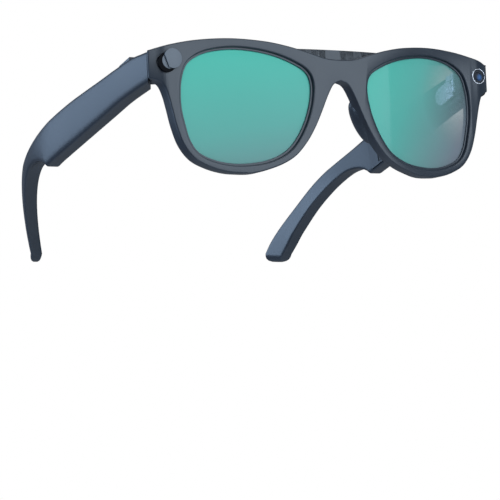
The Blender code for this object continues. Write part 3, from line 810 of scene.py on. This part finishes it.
# %% Model the front
def build_front():
    """The whole moulding, flat until its last step, which wraps it round the face."""
    front = flat_solid("front_shell", outer_loop, 0, front_depth)
    for side in (1, -1):
        hole = [(x * side, z) for x, z in opening_loop]
        subtract(front, flat_solid("opening_tool", hole, -2 * MM, 8 * MM))
        cut_mitre(front, side)
    edit(front)
    bevel_sharp(0.5 * MM, 4, 50)
    outward()
    leave()
    for side, radius in bore_radii.items():
        bore_camera(front, side, radius)
    extras = join_into(build_seat(), build_end_block())
    apply_modifier(extras, "MIRROR", use_axis=(True, False, False), merge_threshold=0.001 * MM)
    join_into(front, extras, nose_pad(1), nose_pad(-1))
    print("front bored, open edges", count_open(front))
    slice_across(front, wide_stations + corner_stations)
    wrap_mesh(front)
    edit(front)
    outward()
    leave()
    return front


front = build_front()
finish_piece(front, stand, navy, "front", ["front_frame"], 30)

# %% [markdown]
# ## The lenses
# A lens is a thin curved plate with the opening's outline. A filled outline has no points inside it and
# can't curve. So the rim is bridged in rows to a small core, the core is closed to one point, and the
# plate is thickened. Then every point moves back by the wrap, less a slight crown in the middle.

# %% Close the core of a lens
lens_middle = Vector((36 * MM, 25 * MM))
lens_setback = 1.8 * MM
lens_thickness = 1.9 * MM
lens_crown = 0.5 * MM
lens_reach = 28 * MM
core_share = 0.12


def close_core(lens):
    """Fills the small loop that is left in the middle of the lens and joins it to one point."""
    mesh = bmesh.from_edit_mesh(lens.data)
    for vert in mesh.verts:
        away = (Vector((abs(vert.co.x), vert.co.z)) - lens_middle).length
        vert.select_set(away < 5 * MM)
    mesh.select_flush_mode()
    bmesh.update_edit_mesh(lens.data)
    bpy.ops.mesh.edge_face_add()
    bpy.ops.mesh.poke()


print("lens thickness in mm", round(lens_thickness / MM, 2))

# %% [markdown]
# Each lens is half a millimetre larger than its opening, so that its edge is hidden in the rim, as a real
# lens lies in its groove.

# %% Model the lenses
def build_lens(name, side):
    """One lens, bridged in rows from its rim to a small core, thickened and then curved."""
    loop = grow(smooth_loop(opening, 5, side), 0.5 * MM)
    centre = Vector((side * lens_middle.x, lens_middle.y))
    small = [tuple(centre + (Vector(point) - centre) * core_share) for point in loop]
    lens = join_into(ring_of_points(name, loop), ring_of_points("lens_core", small))
    edit(lens)
    bpy.ops.mesh.select_all(action="SELECT")
    bpy.ops.mesh.bridge_edge_loops(number_cuts=9, interpolation="LINEAR")
    close_core(lens)
    bpy.ops.mesh.select_all(action="SELECT")
    bpy.ops.mesh.extrude_region_move(TRANSFORM_OT_translate={"value": (0, lens_thickness, 0)})
    outward()
    bevel_sharp(0.2 * MM, 2, 60)
    leave()
    for vert in lens.data.vertices:
        away = (Vector((vert.co.x, vert.co.z)) - centre).length
        vert.co.y += lens_setback + wrap(vert.co.x) - lens_crown * (1 - (away / lens_reach) ** 2)
    return lens


for name, side, finish in (("right", -1, lens_right_finish), ("left", 1, lens_left_finish)):
    lens = build_lens(f"lens_{name}_coated", side)
    finish_piece(lens, stand, finish, "front", [f"lens_{name}"], 30)

# %% [markdown]
# ## The temples
# A temple is deep and flat in front, where the electronics are, steps up behind them, and thins to an ear
# tip that drops behind the ear. It could be an extruded side outline, but its edges change all the way
# along. It is lofted instead, through sections that stand on pairs of points of the top and the bottom
# line.

# %% The two lines of a temple
inner_face = 2.2 * MM
temple_thickness = 6.4 * MM
bend_start = 66.0 * MM
bend_rate = 4.4
top_line = [
    (-13.0, 1.8), (-5.0, 3.6), (3.0, 5.3), (15, 6.5), (26.0, 7.3), (37, 8.2), (48.0, 9.0),
    (58, 9.3), (66.0, 9.25), (71.0, 8.95), (73.6, 8.75), (75.2, 8.6), (78.0, 8.35), (82.0, 7.9),
    (88.0, 7.2), (94.0, 6.3), (101.0, 4.8), (109.0, 1.6), (118.0, -3.8), (125.5, -9.0),
    (130.5, -13.5), (133.6, -17.5),
]
bottom_line = [
    (-13.0, -8.3), (-5.0, -7.6), (3.0, -6.9), (15, -6.1), (26.0, -6.1), (37, -6.1), (48.0, -6.1),
    (58, -6.1), (66.0, -6.1), (71.0, -6.1), (73.9, -6.1), (74.7, -5.7), (76.4, -4.0), (79.5, -2.0),
    (84.0, -0.3), (90.0, 0.4), (97.0, -0.6), (104.0, -3.0), (111.5, -7.0), (119.5, -13.4),
    (123.6, -17.8), (126.2, -20.6),
]
print("temple lines", len(top_line), len(bottom_line))

# %% [markdown]
# The section is a rectangle with rounded corners. A power of the sine and cosine gives that shape with
# evenly running points. The temple also bends in towards the head behind the electronics.

# %% Points of a section
def ear_bend(y):
    """How far the temple has turned in towards the head at a distance along it."""
    return -bend_rate * max(0.0, y - bend_start) ** 2


def between(points, share):
    """A point along a list of points by a smooth curve, share running from 0 to 1."""
    position = share * (len(points) - 1)
    i = min(int(position), len(points) - 2)
    t = position - i
    p0, p1, p2, p3 = (Vector(points[min(max(i + k, 0), len(points) - 1)]) for k in (-1, 0, 1, 2))
    return (p1 * 2 + (p2 - p0) * t + (p0 * 2 - p1 * 5 + p2 * 4 - p3) * t**2
            + (p1 * 3 - p0 - p2 * 3 + p3) * t**3) * 0.5 * MM


def section_point(turn):
    """A point of the rounded section: height from -1 to 1 and depth from 0 (inner) to 1 (outer)."""
    angle = turn * math.tau
    c, s = math.cos(angle), math.sin(angle)
    power = 0.24
    depth = 0.5 + 0.5 * math.copysign(abs(c) ** power, c)
    height = math.copysign(abs(s) ** power, s)
    return height, depth


print("bend at the ear tip in mm", round(ear_bend(130 * MM) / MM, 1))

# %% [markdown]
# A grid has rows and columns already, so it only needs rolling up: each row becomes one section. The open
# ear end is closed by pushing its rim out and shrinking it a few times, which rounds it like a polished
# tip.

# %% Loft a temple and round its tip
tip_steps = ((0.965, 1.0), (0.90, 0.9), (0.78, 0.7), (0.55, 0.4))


def close_tip(shell):
    """Rounds the ear tip: its open end is extruded and shrunk in a few steps."""
    mesh = bmesh.from_edit_mesh(shell.data)
    rim = [e for e in mesh.edges if e.is_boundary and e.verts[0].co.y > 0.1]
    for edge in mesh.edges:
        edge.select_set(edge in rim)
    bmesh.update_edit_mesh(shell.data)
    step = Vector((0, 0.62, -0.78)) * 1.15 * MM
    centre = sum((v.co for e in rim for v in e.verts), Vector()) / (2 * len(rim))
    for shrink, push in tip_steps:
        bpy.ops.mesh.extrude_edges_move(TRANSFORM_OT_translate={"value": step * push})
        mesh = bmesh.from_edit_mesh(shell.data)
        chosen = [v for v in mesh.verts if v.select]
        middle = sum((v.co for v in chosen), Vector()) / len(chosen)
        for vert in chosen:
            vert.co = middle + (vert.co - middle) * shrink
        bmesh.update_edit_mesh(shell.data)


def build_temple(name, side):
    """A grid rolled up round the sections, with both ends closed."""
    around, along = 64, 150
    deselect()
    bpy.ops.mesh.primitive_grid_add(x_subdivisions=around, y_subdivisions=along, size=1.0)
    shell = bpy.context.object
    shell.name = name
    for vert in shell.data.vertices:
        turn = vert.co.x + 0.5
        share = vert.co.y + 0.5
        top, bottom = between(top_line, share), between(bottom_line, share)
        height, depth = section_point(turn)
        crown = (1 - height * height) * depth
        place = (top + bottom) / 2 + (top - bottom) / 2 * height
        slim = 1 - 0.2 * max(0.0, share - 0.75) / 0.25
        thick = temple_thickness * slim
        x = inner_face + 0.12 * MM + (thick - 0.5 * MM) * depth + 0.38 * MM * crown + ear_bend(place.x)
        vert.co = (side * x, place.x, place.y)
    edit(shell)
    bpy.ops.mesh.select_all(action="SELECT")
    bpy.ops.mesh.remove_doubles(threshold=0.005 * MM)
    close_tip(shell)
    bpy.ops.mesh.select_all(action="DESELECT")
    bpy.ops.mesh.select_non_manifold()
    bpy.ops.mesh.edge_face_add()
    outward()
    leave()
    return shell


# %% [markdown]
# In front the temple ends at the same slant as the front's corner, with a fine gap between them. One
# plane cuts both ends alike, so the cut is worked out from the front's own slant.

# %% Trim the front end
seam_gap = 0.15 * MM


def trim_front_end(shell, side):
    """Cuts the temple's front to the mitre."""
    to_temple = (stand.inverted() @ temple_frame(side)).inverted()
    seam = mitre_start + Vector((0, wrap(mitre_start.x), 0))
    mitre = square_to(mitre_end + Vector((0, wrap(mitre_end.x), 0)) - seam)
    seam += mitre * seam_gap
    seam.x *= side
    mitre.x *= side
    turn = to_temple.to_3x3()
    edit(shell)
    bpy.ops.mesh.select_all(action="SELECT")
    bpy.ops.mesh.bisect(plane_co=to_temple @ seam, plane_no=turn @ mitre, use_fill=True, clear_inner=True)
    leave()


temple_shells = {}
for name, side in (("right", -1), ("left", 1)):
    temple_shells[name] = build_temple(f"temple_{name}_shell", side)
    trim_front_end(temple_shells[name], side)
    print(name, "temple", len(temple_shells[name].data.vertices), "points")

# %% [markdown]
# A lid closes the inner side of each temple over the electronics. Its seat is a shallow pocket with the
# lid's own outline, a little larger, so that the lid lies in it with a fine seam.

# %% Pocket for the lid
lid_gap = 0.22 * MM
lid_outline = [(12.0, -5.2), (12.0, 5.0), (26.0, 6.2), (48.0, 8.0), (66.0, 8.2), (71.5, 6.6), (71.5, -5.2)]


def cut_pocket(shell, side):
    """Sinks the lid's seat into the inner side of one temple."""
    loop = grow([(y * MM, z * MM) for y, z in lid_outline], lid_gap)
    tool = ring_of_points("pocket_tool", loop)
    for vert in tool.data.vertices:
        vert.co = (side * 1.0 * MM, vert.co.x, vert.co.z)
    edit(tool)
    bpy.ops.mesh.select_all(action="SELECT")
    bpy.ops.mesh.edge_face_add()
    bpy.ops.mesh.extrude_region_move(TRANSFORM_OT_translate={"value": (side * 3.6 * MM, 0, 0)})
    outward()
    leave()
    subtract(shell, tool)


for name, side in (("right", -1), ("left", 1)):
    shell = temple_shells[name]
    cut_pocket(shell, side)
    finish_piece(shell, temple_frame(side), navy, f"temple_{name}", [f"temple_shell_{name}"], 32)

# %% [markdown]
# ## Cameras
# Each camera shows a bright trim ring and, sunk in it, a small stepped and domed glass. Both are turned
# parts. A revolved profile would do, but a cylinder's cap can be inset and pushed in step by step, as on
# a lathe.

# %% Turned parts
def turned(name, radius, steps, segments=72):
    """A disc facing -Y, its cap stepped: each step is (inset, push back)."""
    deselect()
    bpy.ops.mesh.primitive_cylinder_add(vertices=segments, radius=radius, depth=0.8 * MM,
                                        rotation=(math.radians(90), 0, 0))
    obj = bpy.context.object
    obj.name = name
    bpy.ops.object.transform_apply(location=True, rotation=True, scale=True)
    edit(obj)
    bpy.ops.mesh.select_mode(type="FACE")
    mesh = bmesh.from_edit_mesh(obj.data)
    for face in mesh.faces:
        face.select_set(face.normal.y < -0.9)
    bmesh.update_edit_mesh(obj.data)
    for inset, push in steps:
        bpy.ops.mesh.inset(thickness=inset)
        bpy.ops.transform.translate(value=(0, push, 0))
    leave()
    return obj


def camera_place_in_front(side, depth):
    """The axis of one camera, a depth behind the curved face."""
    return stand @ Matrix.Translation((side * camera_x, wrap(camera_x) + depth, camera_z))


print("left camera at", [round(value, 4) for value in camera_place_in_front(1, 0).translation])

# %% [markdown]
# The left camera stands in its own bore. The right one is smaller, because the wall of the sliding cover
# shares its bore, and it lies a little deeper.

# %% Model the camera rings and glasses
def build_camera(name, side, radius, throat, depth, glass):
    """The trim ring and the glass of one camera; throat is the ring's inner radius."""
    ring = turned(f"camera_ring_{name}", radius, [
        (0.12 * MM, -0.10 * MM), (radius - throat - 0.24 * MM, 0.0),
        (0.12 * MM, 0.12 * MM), (0.05 * MM, 0.55 * MM)])
    finish_piece(ring, camera_place_in_front(side, depth + 0.45 * MM), bright_trim, "front",
                 [f"camera_trim_ring_{name}"], 40)
    eye = turned(f"camera_eye_{name}", throat - 0.04 * MM, [
        (0.40 * MM, 0.0), (0.06 * MM, 0.10 * MM), (0.45 * MM, 0.0), (0.05 * MM, -0.03 * MM),
        (0.25 * MM, -0.10 * MM), (0.25 * MM, -0.06 * MM), (0.25 * MM, -0.03 * MM)])
    finish_piece(eye, camera_place_in_front(side, depth + 0.72 * MM), glass, "front",
                 [f"camera_window_{name}"], 25)


build_camera("left", 1, 2.85 * MM, 2.56 * MM, -0.15 * MM, glass_left)
build_camera("right", -1, 2.35 * MM, 1.95 * MM, 0.3 * MM, glass_right)

# %% [markdown]
# ## The camera cover
# The wearer can hide a camera with a small sliding cover. It is three discs: a flange in the camera's seat,
# painted an almost lightless black as the shade of that seat, a grey track plate on it, and the disc that
# slides. One side of the disc is straight, for a fingernail.

# %% A thin disc
def plate(name, radius, thickness, bevel, chord=None):
    """A thin disc facing -Y with rounded edges, one side cut straight when a chord is given."""
    deselect()
    bpy.ops.mesh.primitive_cylinder_add(vertices=96, radius=radius, depth=thickness, end_fill_type="NGON",
                                        rotation=(math.radians(90), 0, 0))
    disc = bpy.context.object
    disc.name = name
    bpy.ops.object.transform_apply(location=True, rotation=True, scale=True)
    edit(disc)
    if chord:
        bpy.ops.mesh.select_all(action="SELECT")
        bpy.ops.mesh.bisect(plane_co=(-chord, 0, 0), plane_no=(-1, 0, 0), use_fill=True, clear_outer=True)
    bevel_sharp(bevel, 3, 50)
    leave()
    return disc


# %% [markdown]
# The discs are stacked along the camera's axis and turned to the direction of the slide. The top one is
# modelled slid off the camera and rides on the sliding body, so that the joint brings it back over the
# glass.

# %% Model the cover
cover_radius = 3.5 * MM
cover_plate = 0.5 * MM
slide_turn = math.radians(35)
chord_turn = math.radians(15)
chord_reach = 2.6 * MM
slide_travel = 2.4 * MM
cover_place = camera_place_in_front(-1, 0.0) @ Matrix.Rotation(-slide_turn, 4, "Y")
flange_place = cover_place @ Matrix.Translation((0, -0.67 * MM, 0))
track_place = cover_place @ Matrix.Translation((0.9 * MM, -0.98 * MM, 0))
disc_place = (cover_place @ Matrix.Translation((slide_travel, -1.47 * MM, 0))
              @ Matrix.Rotation(chord_turn, 4, "Y"))

# The flange's almost lightless black is painted shade in the camera's seat.
flange = plate("cover_flange", cover_radius, cover_plate, 0.08 * MM)
finish_piece(flange, flange_place, recess_shade_black, "front", (), 30)
track = plate("cover_track", 2.75 * MM, 0.24 * MM, 0.06 * MM)
finish_piece(track, track_place, cover_grey, "front", ["cover_body"], 30)
disc = plate("cover_disc", cover_radius, cover_plate, 0.09 * MM, chord_reach)
finish_piece(disc, disc_place, cover_grey, "cover_slider", ["cover_slider"], 30)
